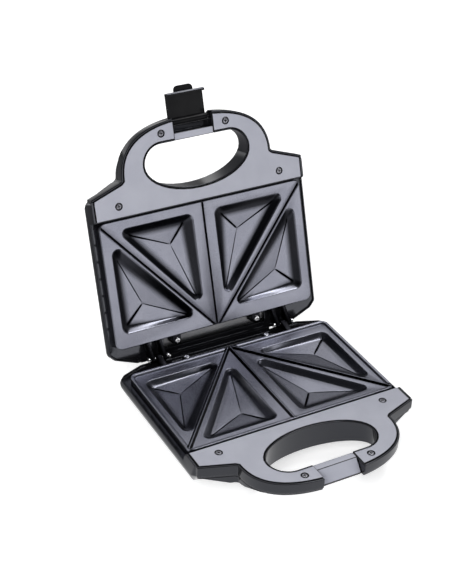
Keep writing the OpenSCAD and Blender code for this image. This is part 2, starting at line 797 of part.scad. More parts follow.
base_housing();
base_handle_cover();
base_cover_screws();
lower_plate();
lower_plate_screws();
lower_heater();
lower_reflector();
foot_front_left();
foot_front_right();
foot_rear_left();
foot_rear_right();
hinge_pin_left();
hinge_pin_right();
cord_gland();
gland_nut();
terminal_block();
thermal_fuse();
lid_housing();
lid_handle_cover();
lid_cover_screws();
upper_plate();
upper_plate_screws();
upper_heater();
upper_reflector();
thermostat();
power_lens();
ready_lens();
power_lamp();
ready_lamp();
latch_pin();
latch();
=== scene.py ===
"""Open two-slice sandwich toaster: cast plates, eased housings, finishes, light and camera.

Lengths are in millimetres until a point is put in the frame, which is in metres.
"""
import json
import math

import bmesh
import bpy
from mathutils import Matrix, Vector
from mathutils.geometry import delaunay_2d_cdt


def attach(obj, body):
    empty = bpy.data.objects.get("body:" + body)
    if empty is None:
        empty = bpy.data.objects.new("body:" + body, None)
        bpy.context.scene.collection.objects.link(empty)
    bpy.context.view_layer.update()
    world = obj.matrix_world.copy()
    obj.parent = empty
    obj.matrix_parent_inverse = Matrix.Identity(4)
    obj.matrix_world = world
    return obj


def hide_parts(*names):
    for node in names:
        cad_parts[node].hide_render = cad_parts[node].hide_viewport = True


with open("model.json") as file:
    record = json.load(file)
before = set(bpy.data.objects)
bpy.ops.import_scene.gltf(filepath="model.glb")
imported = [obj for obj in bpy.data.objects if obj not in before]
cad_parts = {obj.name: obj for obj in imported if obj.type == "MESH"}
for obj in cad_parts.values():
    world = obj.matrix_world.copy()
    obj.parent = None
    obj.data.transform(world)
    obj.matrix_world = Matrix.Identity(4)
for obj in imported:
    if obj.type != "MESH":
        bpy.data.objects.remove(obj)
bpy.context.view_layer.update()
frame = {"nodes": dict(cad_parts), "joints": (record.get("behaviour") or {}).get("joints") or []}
NODES = frame["nodes"]
MM = 0.001

# The two halves share one design: x across, y from the hinge axis to the grip, drop below the face
PLATE_HALF_W = 110.3
PLATE_BACK = 15.8
PLATE_FRONT = 142.8
PLATE_R = 7.0
LEAST_R = 0.8
COVER_BACK = 144.8
FACE_DROP = 2.2
SEAT_DROP = 9.5
HINGE_DROP = 3.4
PLATE_SCREWS = ((-45.0, 10.5), (45.0, 10.5))
COVER_SCREWS = ((-87.6, 155.8), (-34.7, 216.0), (34.7, 216.0), (87.6, 155.8))

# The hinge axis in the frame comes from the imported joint
hinge = next(j for j in frame["joints"] if j["name"] == "lid_hinge")
HINGE_Y = hinge["pos_m"][1] / MM
HINGE_Z = hinge["pos_m"][2] / MM
OPEN = math.radians(hinge["range_deg"][1])


def on_base(x, y, drop):
    """A point of the base half, in metres in the frame."""
    return Vector((x, HINGE_Y - y, HINGE_Z + HINGE_DROP - drop)) * MM


def on_lid(x, y, drop):
    """The same point of the lid half, which stands open."""
    up = HINGE_DROP + drop
    back = -y * math.cos(OPEN) + up * math.sin(OPEN)
    rise = y * math.sin(OPEN) + up * math.cos(OPEN)
    return Vector((x, HINGE_Y + back, HINGE_Z + rise)) * MM


HALVES = {"base": on_base, "lid": on_lid}

# Finishes. A mesh attribute carries painted shade: creases, grooves, ridge sides, pocket walls, hinge
# arms, screw recesses and cover edges are darkened in colour to stand in for shade and dark
# reflections;
# it starts to show at the lower threshold below and is black from the upper one on
DRIFT_SCALE = 40.0
BUMP_STRENGTH = 0.35
NO_PAINTED_SHADE = 0.1
FULL_PAINTED_SHADE = 0.5
PAINTED_SHADE_COLOUR = (0.004, 0.004, 0.005, 1.0)


def material(name):
    """A node material; returns the material, its tree and its principled shader."""
    mat = bpy.data.materials.new(name)
    mat.use_nodes = True
    tree = mat.node_tree
    return mat, tree, tree.nodes["Principled BSDF"]


def noise(tree, scale, detail=3.0):
    """A noise texture in object space."""
    coords = tree.nodes.new("ShaderNodeTexCoord")
    tex = tree.nodes.new("ShaderNodeTexNoise")
    tex.inputs["Scale"].default_value = scale
    tex.inputs["Detail"].default_value = detail
    tex.inputs["Roughness"].default_value = 0.55
    tree.links.new(coords.outputs["Object"], tex.inputs["Vector"])
    return tex.outputs["Fac"]


def ramp(tree, fac, low, high, start=0.0, end=1.0):
    """A two-stop colour ramp over a factor."""
    node = tree.nodes.new("ShaderNodeValToRGB")
    node.color_ramp.elements[0].position = start
    node.color_ramp.elements[1].position = end
    node.color_ramp.elements[0].color = (*low, 1.0)
    node.color_ramp.elements[1].color = (*high, 1.0)
    tree.links.new(fac, node.inputs["Fac"])
    return node.outputs["Color"]


def level(tree, fac, low, high, start=0.0, end=1.0):
    """Maps a factor between start and end to a range of numbers."""
    node = tree.nodes.new("ShaderNodeMapRange")
    node.inputs["From Min"].default_value = start
    node.inputs["From Max"].default_value = end
    node.inputs["To Min"].default_value = low
    node.inputs["To Max"].default_value = high
    tree.links.new(fac, node.inputs["Value"])
    return node.outputs["Result"]


def bump(tree, shader, height, distance):
    """Adds bump from a height to a shader."""
    node = tree.nodes.new("ShaderNodeBump")
    node.inputs["Strength"].default_value = BUMP_STRENGTH
    node.inputs["Distance"].default_value = distance
    tree.links.new(height, node.inputs["Height"])
    tree.links.new(node.outputs["Normal"], shader.inputs["Normal"])


def finish_of(name, dark, light, rough, grain, depth, metal=0.0, specular=0.5, tint=(1, 1, 1)):
    """A moulded or coated finish: slow colour drift, grain in the gloss and a fine bump."""
    mat, tree, shader = material(name)
    drift = ramp(tree, noise(tree, DRIFT_SCALE), dark, light, 0.35, 0.65)
    tree.links.new(drift, shader.inputs["Base Color"])
    fine = noise(tree, grain, 2.0)
    tree.links.new(level(tree, fine, *rough), shader.inputs["Roughness"])
    shader.inputs["Metallic"].default_value = metal
    shader.inputs["Specular IOR Level"].default_value = specular
    shader.inputs["Specular Tint"].default_value = (*tint, 1.0)
    bump(tree, shader, fine, depth)
    return mat


def paint_marked_shade(mat):
    """Paints shade into a finish where the mesh attribute marks it: a darker colour that stands in
    for shade and dark reflections.
    """
    tree = mat.node_tree
    shader = tree.nodes["Principled BSDF"]
    base = shader.inputs["Base Color"].links[0].from_socket
    mark = tree.nodes.new("ShaderNodeAttribute")
    mark.attribute_name = "painted_shade"
    blend = tree.nodes.new("ShaderNodeMix")
    blend.data_type = "RGBA"
    blend.inputs["B"].default_value = PAINTED_SHADE_COLOUR
    amount = level(tree, mark.outputs["Fac"], 0.0, 1.0, NO_PAINTED_SHADE, FULL_PAINTED_SHADE)
    tree.links.new(amount, blend.inputs["Factor"])
    tree.links.new(base, blend.inputs["A"])
    tree.links.new(blend.outputs["Result"], shader.inputs["Base Color"])


HOUSING = finish_of("gloss_black_plastic", (0.004, 0.004, 0.005), (0.007, 0.007, 0.008),
                    (0.1, 0.16), 900, 0.00002, specular=0.6, tint=(0.86, 0.89, 1.0))
COVER = finish_of("satin_cover", (0.44, 0.45, 0.52), (0.48, 0.49, 0.56),
                  (0.3, 0.4), 2400, 0.00004)
PLATE = finish_of("non_stick_coating", (0.225, 0.23, 0.275), (0.255, 0.26, 0.305),
                  (0.24, 0.31), 3000, 0.00005, metal=1.0)
ZINC = finish_of("zinc_screws", (0.27, 0.27, 0.3), (0.33, 0.33, 0.36),
                 (0.25, 0.38), 1200, 0.00002, metal=1.0)
STEEL = finish_of("bright_steel", (0.62, 0.62, 0.64), (0.78, 0.78, 0.8),
                  (0.14, 0.28), 1200, 0.00002, metal=1.0)
# These finishes take the painted shade
for marked in (PLATE, ZINC, STEEL, COVER):
    paint_marked_shade(marked)
RUBBER = finish_of("foot_rubber", (0.012, 0.012, 0.012), (0.022, 0.022, 0.022),
                   (0.6, 0.8), 1500, 0.0001)
LATCH = finish_of("latch_plastic", (0.006, 0.006, 0.007), (0.01, 0.01, 0.011),
                  (0.16, 0.24), 1600, 0.00004, specular=0.12)
# The latch's lip is coloured mid-grey as a painted highlight on the black latch's rounded hook end
LATCH_LIP_HIGHLIGHT = finish_of("latch_lip", (0.2, 0.205, 0.235), (0.24, 0.245, 0.28),
                      (0.25, 0.35), 1600, 0.00004)
GLAND = finish_of("gland_plastic", (0.014, 0.014, 0.015), (0.022, 0.022, 0.023),
                  (0.4, 0.55), 1400, 0.00006)
ROD = finish_of("heat_toned_rod", (0.16, 0.13, 0.1), (0.26, 0.24, 0.22),
                (0.3, 0.5), 900, 0.00003, metal=1.0)
TRAY = finish_of("tray_metal", (0.1, 0.1, 0.105), (0.14, 0.14, 0.145),
                 (0.12, 0.2), 700, 0.00003, metal=1.0)
BLOCK = finish_of("block_plastic", (0.62, 0.59, 0.52), (0.72, 0.69, 0.62),
                  (0.4, 0.5), 800, 0.00004)
FUSE = finish_of("fuse_casing", (0.45, 0.42, 0.36), (0.58, 0.55, 0.48),
                 (0.3, 0.45), 900, 0.00003, metal=1.0)
RED = finish_of("red_lens", (0.42, 0.012, 0.008), (0.5, 0.02, 0.012),
                (0.08, 0.14), 600, 0.00001)
GREEN = finish_of("green_lens", (0.012, 0.24, 0.05), (0.02, 0.3, 0.07),
                  (0.08, 0.14), 600, 0.00001)
BULB = finish_of("lamp_glass", (0.6, 0.5, 0.42), (0.75, 0.65, 0.55),
                 (0.06, 0.12), 500, 0.00001)

NODE_FINISH = {
    "base_housing": HOUSING, "lid_housing": HOUSING,
    "base_handle_cover": COVER, "lid_handle_cover": COVER,
    "lower_plate": PLATE, "upper_plate": PLATE,
    "base_cover_screws": STEEL, "lid_cover_screws": STEEL,
    "lower_plate_screws": STEEL, "upper_plate_screws": STEEL,
    "hinge_pin_left": STEEL, "hinge_pin_right": STEEL, "latch_pin": STEEL, "latch": LATCH,
    "lower_heater": ROD, "upper_heater": ROD, "lower_reflector": TRAY, "upper_reflector": TRAY,
    "cord_gland": GLAND, "gland_nut": GLAND, "terminal_block": BLOCK,
    "thermal_fuse": FUSE, "thermostat": FUSE, "power_lens": RED, "ready_lens": GREEN,
    "power_lamp": BULB, "ready_lamp": BULB,
    "foot_front_left": RUBBER, "foot_front_right": RUBBER,
    "foot_rear_left": RUBBER, "foot_rear_right": RUBBER,
}
for node_name, node_obj in NODES.items():
    node_obj.data.materials.clear()
    node_obj.data.materials.append(NODE_FINISH[node_name])

# Pockets: three circles round the rim as (x, y, r), the corners of the facets, the deepest point
FRONT_POCKET = (((19.0, 126.0, 7.0), (18.0, 52.6, 6.0), (82.2, 128.0, 5.0)),
                ((22.0, 124.0), (16.5, 49.0), (78.0, 124.5)), (37.0, 106.4))
SIDE_POCKET = (((93.8, 37.8, 7.0), (94.7, 108.9, 6.0), (30.3, 35.6, 5.0)),
               ((93.5, 38.0), (94.0, 102.0), (28.0, 32.0)), (74.7, 55.0))
POCKETS = (FRONT_POCKET, SIDE_POCKET)
POCKET_DROP = 8.3

# Points along the loops of a pocket, rings down its wall and over its facets
CORNER_HALF = 6
SIDE_COUNT = 9
WALL_STEPS = 11
FACET_STEPS = 9
# The rounded lip as (growth of the rim, drop below the face)
LIP = ((0.8, 0.0), (0.52, 0.04), (0.26, 0.16), (0.06, 0.36))
# The wall takes this share of the depth; its steepness at the lip and at the facets
WALL_SHARE = 0.84
WALL_START = 1.35
WALL_END = 0.15
# Creases between facets, which get depth and painted shade, the share of both beside them, the share
# of the way over which they close
CREASE_HALF_W = 1.3
CREASE_DEPTH = 0.55
CREASE_SIDE_DEPTH_AND_SHADE = 0.27
CREASE_CLOSE = 0.12
CORNER_SPACING = 0.9
# Painted shade over the way down a wall and over the way to the deepest point, at the deepest point,
# and its strength on each half
WALL_PAINTED_SHADE = ((0.0, 0.2), (0.15, 0.44), (0.8, 0.44), (1.0, 0.42))
FACET_PAINTED_SHADE = ((0.0, 0.42), (0.12, 0.27), (0.25, 0.11), (0.4, 0.0))
APEX_PAINTED_SHADE = 0.6
PAINTED_SHADE_OF = {"base": 0.65, "lid": 1.0}
# A wall that runs down towards the grip catches light and gets no painted shade: the painted shade
# ends over this span above the limit
SHADE_LIMIT = 0.7
SHADE_SPAN = 0.25
# Where on a wall the creases start, the way of the last ring, the extra depth of the tip
CREASE_START = 0.75
LAST_RING = 0.985
APEX_SINK = 0.05


def between(a, b, t):
    """A point part of the way from a to b."""
    return tuple(p + (q - p) * t for p, q in zip(a, b))


def unit(a, b):
    """The direction from a to b."""
    run = math.hypot(b[0] - a[0], b[1] - a[1])
    return (b[0] - a[0]) / run, (b[1] - a[1]) / run


def follow(steps, at):
    """Reads a value off a list of (position, value) steps."""
    if at <= steps[0][0]:
        return steps[0][1]
    for (a, va), (b, vb) in zip(steps, steps[1:]):
        if at <= b:
            return va + (vb - va) * (at - a) / (b - a)
    return steps[-1][1]


def rim_loop(rim, grow):
    """Points round three circles, the same number at each corner and along each side."""
    turns = []
    for i, (ax, ay, ar) in enumerate(rim):
        bx, by, br = rim[(i + 1) % 3]
        run = math.hypot(bx - ax, by - ay)
        turns.append(math.atan2(by - ay, bx - ax) - math.acos((ar - br) / run))
    loop = []
    for i, (x, y, r) in enumerate(rim):
        start = turns[i - 1]
        end = start + (turns[i] - start) % math.tau
        for k in range(2 * CORNER_HALF + 1):
            a = start + (end - start) * k / (2 * CORNER_HALF)
            loop.append((x + (r + grow) * math.cos(a), y + (r + grow) * math.sin(a)))
        x, y, r = rim[(i + 1) % 3]
        far = (x + (r + grow) * math.cos(end), y + (r + grow) * math.sin(end))
        near = loop[-1]
        loop += [between(near, far, k / (SIDE_COUNT + 1)) for k in range(1, SIDE_COUNT + 1)]
    return loop


def facet_loop(facet, apex, k):
    """The matching loop round the facets, k of the way to the deepest point, as (x, y, crease)."""
    corners = [between(c, apex, k) for c in facet]
    near = CREASE_HALF_W * min(1.0, (1 - k) / CREASE_CLOSE)
    spacing = CORNER_SPACING * (1 - k)
    # on a crease line full depth and full painted shade, beside it the share below
    crease = {0: 1.0, 1: CREASE_SIDE_DEPTH_AND_SHADE}
    loop = []
    for i, corner in enumerate(corners):
        before = unit(facet[i], facet[i - 1])
        after = unit(facet[i], facet[(i + 1) % 3])
        for j in range(-CORNER_HALF, CORNER_HALF + 1):
            reach = 0 if j == 0 else near + (abs(j) - 1) * spacing
            way = before if j < 0 else after
            loop.append((corner[0] + way[0] * reach, corner[1] + way[1] * reach,
                         crease.get(abs(j), 0.0)))
        nxt = corners[(i + 1) % 3]
        reach = near + (CORNER_HALF - 1) * spacing
        far = (nxt[0] - after[0] * reach, nxt[1] - after[1] * reach, 0.0)
        start = loop[-1]
        loop += [between(start, far, s / (SIDE_COUNT + 1)) for s in range(1, SIDE_COUNT + 1)]
    return loop


def out_of_light(edge, foot):
    """Painted shade of a wall: 1 for a wall in shade, down to 0 for a wall that faces away from the
    hinge.
    """
    facing = unit(edge, foot)[1]
    return 1.0 - min(1.0, max(0.0, (facing - SHADE_LIMIT) / SHADE_SPAN))


def wall_fall(t):
    """Share of a wall's depth reached t of the way down it."""
    start = t ** 3 - 2 * t ** 2 + t
    end = t ** 3 - t ** 2
    return start * WALL_START + (3 - 2 * t) * t ** 2 + end * WALL_END


def pocket_rings(rim, facet, apex):
    """Rings of (x, y, drop, painted shade) from the lip of a pocket to its deepest point."""
    rings = [[(x, y, FACE_DROP + drop, 0.0) for x, y in rim_loop(rim, grow)]
             for grow, drop in LIP]
    edge = rings[-1]
    foot = facet_loop(facet, apex, 0.0)
    shades = [out_of_light(a, b) for a, b in zip(edge, foot)]
    lip = FACE_DROP + LIP[-1][1]
    foot_drop = lip + (POCKET_DROP - lip) * WALL_SHARE
    for step in range(1, WALL_STEPS + 1):
        t = step / WALL_STEPS
        near_foot = max(0.0, (t - CREASE_START) / (1 - CREASE_START))
        drop = lip + (foot_drop - lip) * wall_fall(t)
        ring = []
        for a, b, shade in zip(edge, foot, shades):
            crease = b[2] * near_foot
            ring.append((*between(a[:2], b[:2], t), drop + CREASE_DEPTH * crease,
                         max(crease, follow(WALL_PAINTED_SHADE, t) * shade)))
        rings.append(ring)
    for step in range(1, FACET_STEPS + 1):
        k = LAST_RING * step / FACET_STEPS
        drop = foot_drop + (POCKET_DROP - foot_drop) * k
        rings.append([(x, y, drop + CREASE_DEPTH * crease * (1 - k ** 6),
                       max(crease, follow(FACET_PAINTED_SHADE, k) * shade))
                      for (x, y, crease), shade in zip(facet_loop(facet, apex, k), shades)])
    return rings


# Dividing lines, then ridges of the lower plate, grooves of the upper one and raised rim,
# each as (distance, height)
RIDGE_LINES = (((0.0, 5.0), (0.0, 150.0)),
               ((1.0, 14.8), (109.5, 140.0)),
               ((-1.0, 14.8), (-109.5, 140.0)))
RIDGE_SHAPE = ((0.0, 2.0), (0.28, 1.95), (0.6, 1.6), (1.1, 0.8), (1.6, 0.15), (2.1, 0.0), (2.5, 0.0))
GROOVE_SHAPE = ((0.0, -1.3), (0.45, -1.25), (0.7, -1.0), (0.95, -0.45), (1.15, -0.12), (1.5, 0.0))
RIM_H = 2.0
RIM_SHAPE = ((0.0, RIM_H), (2.2, RIM_H), (2.7, 1.75), (3.1, 1.1), (3.5, 0.35), (3.9, 0.0))
# Points along a rounded corner of the plate
ARC_POINTS = 9
# A dividing line starts to count this far before its first point and is drawn this far past its last
LINE_LEAD = 3
LINE_TAIL = 6
# Distance from a dividing line over which the sides of a ridge get painted shade
RIDGE_SHADE_FROM = 0.3
RIDGE_SHADE_TO = 2.2
# More than any distance on a plate, and the distance below which points are one
FAR_OFF = 100.0
SAME_POINT = 1e-5


def plate_loop(inset):
    """The plate's rounded outline, drawn in by inset."""
    w, back, front = PLATE_HALF_W - inset, PLATE_BACK + inset, PLATE_FRONT - inset
    r = max(PLATE_R - inset, LEAST_R)
    corners = ((w - r, front - r, 0), (r - w, front - r, 90),
               (r - w, back + r, 180), (w - r, back + r, 270))
    loop = []
    for cx, cy, a0 in corners:
        for k in range(ARC_POINTS):
            a = math.radians(a0 + 90 * k / (ARC_POINTS - 1))
            loop.append((cx + r * math.cos(a), cy + r * math.sin(a)))
    return loop


def inset_of(x, y):
    """How far inside the plate's outline a point lies."""
    w, front, back = PLATE_HALF_W - PLATE_R, PLATE_FRONT - PLATE_R, PLATE_BACK + PLATE_R
    dx = abs(x) - w
    dy = max(y - front, back - y)
    if dx > 0 and dy > 0:
        return PLATE_R - math.hypot(dx, dy)
    return PLATE_R - max(dx, dy)


def line_distance(x, y):
    """Distance to the nearest dividing line."""
    near = FAR_OFF
    for a, b in RIDGE_LINES:
        ux, uy = unit(a, b)
        if (x - a[0]) * ux + (y - a[1]) * uy > -LINE_LEAD:
            near = min(near, abs((x - a[0]) * uy - (y - a[1]) * ux))
    return near


def inside(point, loop):
    """True where a point lies within a loop."""
    x, y = point
    hit = False
    for (ax, ay), (bx, by) in zip(loop, loop[1:] + loop[:1]):
        if (ay > y) != (by > y) and x < (bx - ax) * (y - ay) / (by - ay) + ax:
            hit = not hit
    return hit


def plate_face(mesh, put, painted_shade, rimmed, edge):
    """The flat face with its ridges: a triangulation that keeps every ridge, rim and pocket line."""
    holes = []
    for rim, _, _ in POCKETS:
        loop = rim_loop(rim, LIP[0][0])
        holes += [loop, [(-x, y) for x, y in loop]]
    outer = plate_loop(edge)
    lines = [outer] + holes
    shape = RIDGE_SHAPE if rimmed else GROOVE_SHAPE
    if rimmed:
        lines += [plate_loop(inset) for inset, _ in RIM_SHAPE[1:]]
    points, edges = [], []
    for loop in lines:
        first = len(points)
        points += loop
        edges += [(first + k, first + (k + 1) % len(loop)) for k in range(len(loop))]
    for a, b in RIDGE_LINES:
        ux, uy = unit(a, b)
        for off in sorted({s * o for o, _ in shape for s in (-1, 1)}):
            first = len(points)
            points += [(a[0] - LINE_LEAD * ux + off * uy, a[1] - LINE_LEAD * uy - off * ux),
                       (b[0] + LINE_TAIL * ux + off * uy, b[1] + LINE_TAIL * uy - off * ux)]
            edges.append((first, first + 1))
    found = delaunay_2d_cdt([Vector(p) for p in points], edges, [], 0, SAME_POINT)
    flat, faces = found[0], found[2]
    verts = {}

    def corner(i):
        if i not in verts:
            x, y = flat[i]
            away = line_distance(x, y)
            high = follow(shape, away)
            if rimmed:
                high = max(high, follow(RIM_SHAPE, inset_of(x, y)))
                # the sides of a ridge get painted shade
                mark = float(RIDGE_SHADE_FROM < away < RIDGE_SHADE_TO)
            else:
                # a groove is painted darker the deeper it is, as shade
                mark = min(1.0, -high)
            verts[i] = mesh.verts.new(put(x, y, FACE_DROP - high))
            verts[i][painted_shade] = mark
        return verts[i]

    for face in faces:
        mid = [sum(flat[i][axis] for i in face) / len(face) for axis in (0, 1)]
        if inside(mid, outer) and not any(inside(mid, hole) for hole in holes):
            mesh.faces.new([corner(i) for i in face])


def bridge(mesh, rings):
    """Joins closed rings of corners by faces."""
    for one, two in zip(rings, rings[1:]):
        for k in range(len(one)):
            m = (k + 1) % len(one)
            mesh.faces.new((one[k], one[m], two[m], two[k]))


def plate_pocket(mesh, put, painted_shade, half, side, pocket):
    """One pocket of a plate; side is -1 for its mirror."""
    rim, facet, apex = pocket
    rings = []
    for ring in pocket_rings(rim, facet, apex):
        rings.append([mesh.verts.new(put(side * x, y, drop)) for x, y, drop, _ in ring])
        for vert, (_, _, _, mark) in zip(rings[-1], ring):
            # painted shade, weaker on the lower plate where it is not full
            vert[painted_shade] = mark if mark > FULL_PAINTED_SHADE else mark * PAINTED_SHADE_OF[half]
    bridge(mesh, rings)
    tip = mesh.verts.new(put(side * apex[0], apex[1], POCKET_DROP + APEX_SINK))
    # painted shade at the deepest point
    tip[painted_shade] = APEX_PAINTED_SHADE
    last = rings[-1]
    for k in range(len(last)):
        mesh.faces.new((last[k], last[(k + 1) % len(last)], tip))


# The foot of the skirt and the seat, as (inset, drop)
SKIRT_FOOT = [(0.0, SEAT_DROP - 0.5), (0.15, SEAT_DROP - 0.15), (0.5, SEAT_DROP),
              (3.0, SEAT_DROP), (3.0, FACE_DROP + 2.5)]


def plate_skirt(mesh, put, edge, top):
    """The rounded outer edge of a plate, its skirt and the seat underneath."""
    turn = [math.radians(15 * k) for k in range(7)]
    skirt = [(edge * (1 - math.sin(a)), top + edge * (1 - math.cos(a))) for a in turn]
    bridge(mesh, [[mesh.verts.new(put(x, y, drop)) for x, y in plate_loop(inset)]
                  for inset, drop in skirt + SKIRT_FOOT])


# The rounding of a prism's edges, and the edges that are rounded
PRISM_EASE = 0.35
PRISM_SHARP = math.radians(35)


def prism(mesh, outline, low, high, put):
    """An extruded outline with eased edges; put turns (u, v, w) into a place in the frame."""
    ends = [[mesh.verts.new(put(u, v, w)) for u, v in outline] for w in (low, high)]
    new = [mesh.faces.new(end) for end in ends]
    for k in range(len(outline)):
        m = (k + 1) % len(outline)
        new.append(mesh.faces.new((ends[0][k], ends[0][m], ends[1][m], ends[1][k])))
    bmesh.ops.recalc_face_normals(mesh, faces=new)
    sharp = [e for e in {e for f in new for e in f.edges} if e.calc_face_angle(0) > PRISM_SHARP]
    bmesh.ops.bevel(mesh, geom=sharp, offset=PRISM_EASE * MM, segments=2, profile=0.5,
                    affect="EDGES", clamp_overlap=True)


def hull_outline(points):
    """Convex outline of some points, in order."""
    points = sorted(set(points))
    halves = []
    for run in (points, points[::-1]):
        chain = []
        for p in run:
            while len(chain) > 1 and ((chain[-1][0] - chain[-2][0]) * (p[1] - chain[-2][1])
                                      - (chain[-1][1] - chain[-2][1]) * (p[0] - chain[-2][0])) <= 0:
                chain.pop()
            chain.append(p)
        halves.append(chain[:-1])
    return halves[0] + halves[1]


# Points round a barrel, a lug or a lip
ROUND_POINTS = 28


def circle(u, v, r):
    """Points of a circle."""
    turn = [math.tau * k / ROUND_POINTS for k in range(ROUND_POINTS)]
    return [(u + r * math.cos(a), v + r * math.sin(a)) for a in turn]


# Hinge arms: at each side a knuckle of the lower plate between two ears of the upper one
HINGE_X = 70.5
BARREL_R = 3.6
KNUCKLE_W = 6.0
EAR_W = 4.0
EAR_GAP = 1.5
EAR_SHIFT = KNUCKLE_W / 2 + EAR_GAP + EAR_W / 2
ARMS = {"base": (HINGE_DROP, ((HINGE_X, KNUCKLE_W),)),
        "lid": (-HINGE_DROP, ((HINGE_X - EAR_SHIFT, EAR_W), (HINGE_X + EAR_SHIFT, EAR_W)))}
# Where an arm meets its plate, as (y, drop)
ARM_ROOT = [(16.8, 3.4), (16.8, 8.4), (4.0, 7.0)]
# Screw lugs at the back, tongues at the front, both with the drops they lie between
LUG_R = 4.6
LUG_DROPS = (4.0, 7.0)
TONGUE_X = 60
TONGUE_HALF_W = 10
TONGUE_DROPS = (5.5, 7.5)
# How far lugs and tongues run into the plate, and the painted shade on arms, lugs and tongues
OVERLAP = 1
ARM_PAINTED_SHADE = 0.48


def plate_arms(mesh, put, half):
    """The hinge arms, screw lugs and front tongues of a plate."""
    axis_drop, arms = ARMS[half]
    outline = hull_outline(circle(0, axis_drop, BARREL_R) + ARM_ROOT)
    for x, width in arms:
        for side in (1, -1):
            middle = side * x
            prism(mesh, outline, middle - width / 2, middle + width / 2, lambda u, v, w: put(w, u, v))
    for x, y in PLATE_SCREWS:
        root = [(x - LUG_R, PLATE_BACK + OVERLAP), (x + LUG_R, PLATE_BACK + OVERLAP)]
        prism(mesh, hull_outline(circle(x, y, LUG_R) + root), *LUG_DROPS, put)
    for x in (-TONGUE_X, TONGUE_X):
        left, right = x - TONGUE_HALF_W, x + TONGUE_HALF_W
        tongue = [(left, PLATE_FRONT - OVERLAP), (right, PLATE_FRONT - OVERLAP),
                  (right, COVER_BACK), (left, COVER_BACK)]
        prism(mesh, tongue, *TONGUE_DROPS, put)


def show(mesh, name, half, mat, angle, node=None):
    """Puts a mesh on its half, in place of a CAD node if one is named, smooth below an angle."""
    data = bpy.data.meshes.new(name)
    mesh.to_mesh(data)
    mesh.free()
    for face in data.polygons:
        face.use_smooth = True
    data.set_sharp_from_angle(angle=math.radians(angle))
    data.materials.append(mat)
    obj = bpy.data.objects.new(name, data)
    bpy.context.scene.collection.objects.link(obj)
    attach(obj, half)
    if node:
        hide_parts(node)
    return obj


# Corners this close are one corner; edges below these angles are smooth
WELD = 0.004 * MM
SMOOTH_SKIN = 28
SMOOTH_FORM = 40
# How far the outer edge of a plate is rounded
PLATE_EDGE = {"base": 0.7, "lid": 1.1}


def plate_skin(node, half):
    """The visible casting of one plate, with its arms, lugs and tongues."""
    put = HALVES[half]
    rimmed = half == "base"
    edge = PLATE_EDGE[half]
    top = FACE_DROP - RIM_H if rimmed else FACE_DROP
    mesh = bmesh.new()
    painted_shade = mesh.verts.layers.float.new("painted_shade")
    plate_face(mesh, put, painted_shade, rimmed, edge)
    for pocket in POCKETS:
        for side in (1, -1):
            plate_pocket(mesh, put, painted_shade, half, side, pocket)
    plate_skirt(mesh, put, edge, top)
    bmesh.ops.remove_doubles(mesh, verts=mesh.verts[:], dist=WELD)
    cast = set(mesh.verts)
    plate_arms(mesh, put, half)
    # arms, lugs and tongues are painted darker as shade
    for vert in mesh.verts:
        if vert not in cast:
            vert[painted_shade] = ARM_PAINTED_SHADE
    show(mesh, node + "_skin", half, PLATE, SMOOTH_SKIN, node)


# Eased forms: the weld of corners, the bends that count as flat and as an edge, and how little
# a face may look out of its half to count as a side
LOOSE_WELD = 0.012 * MM
FLAT = math.radians(0.6)
SHARP = math.radians(32)
SIDE_FACING = 0.3


def eased(node, half, mat, width, painted_dark_sides=False):
    """A CAD node's own form with its edges eased; it stands in the node's place."""
    mesh = bmesh.new()
    source = NODES[node]
    mesh.from_mesh(source.data)
    mesh.transform(source.matrix_world)
    bmesh.ops.remove_doubles(mesh, verts=mesh.verts[:], dist=LOOSE_WELD)
    bmesh.ops.dissolve_limit(mesh, angle_limit=FLAT, verts=mesh.verts[:], edges=mesh.edges[:])
    bmesh.ops.triangulate(mesh, faces=mesh.faces[:], quad_method="BEAUTY", ngon_method="BEAUTY")
    sharp = [e for e in mesh.edges if len(e.link_faces) == 2 and e.calc_face_angle(0) > SHARP]
    made = bmesh.ops.bevel(mesh, geom=sharp, offset=width * MM, segments=2, profile=0.5,
                           affect="EDGES", clamp_overlap=False, loop_slide=False)
    # painted shade: the rounded edges and the sides that look away from the half are painted dark,
    # standing in for the dark gap round a cover
    if painted_dark_sides:
        rounds = set(made["faces"])
        out = (HALVES[half](0, 0, 0) - HALVES[half](0, 0, 1)).normalized()
        painted_shade = mesh.verts.layers.float.new("painted_shade")
        for vert in mesh.verts:
            vert[painted_shade] = float(all(f in rounds or f.normal.dot(out) < SIDE_FACING
                                   for f in vert.link_faces))
    bmesh.ops.remove_doubles(mesh, verts=mesh.verts[:], dist=WELD)
    obj = show(mesh, node + "_form", half, mat, SMOOTH_FORM, node)
    weigh = obj.modifiers.new("weighted", "WEIGHTED_NORMAL")
    weigh.keep_sharp = True
    weigh.weight = 80


# The hook's lip: a short rod with rounded ends, at this place of the lid half; its mid-grey colour is
# a painted highlight
HOOK_LIP_HALF_W = 19.5
HOOK_LIP_R = 1.5
HOOK_LIP_ROUND = 0.5
HOOK_LIP_Y = 249.4
HOOK_LIP_DROP = 8.7


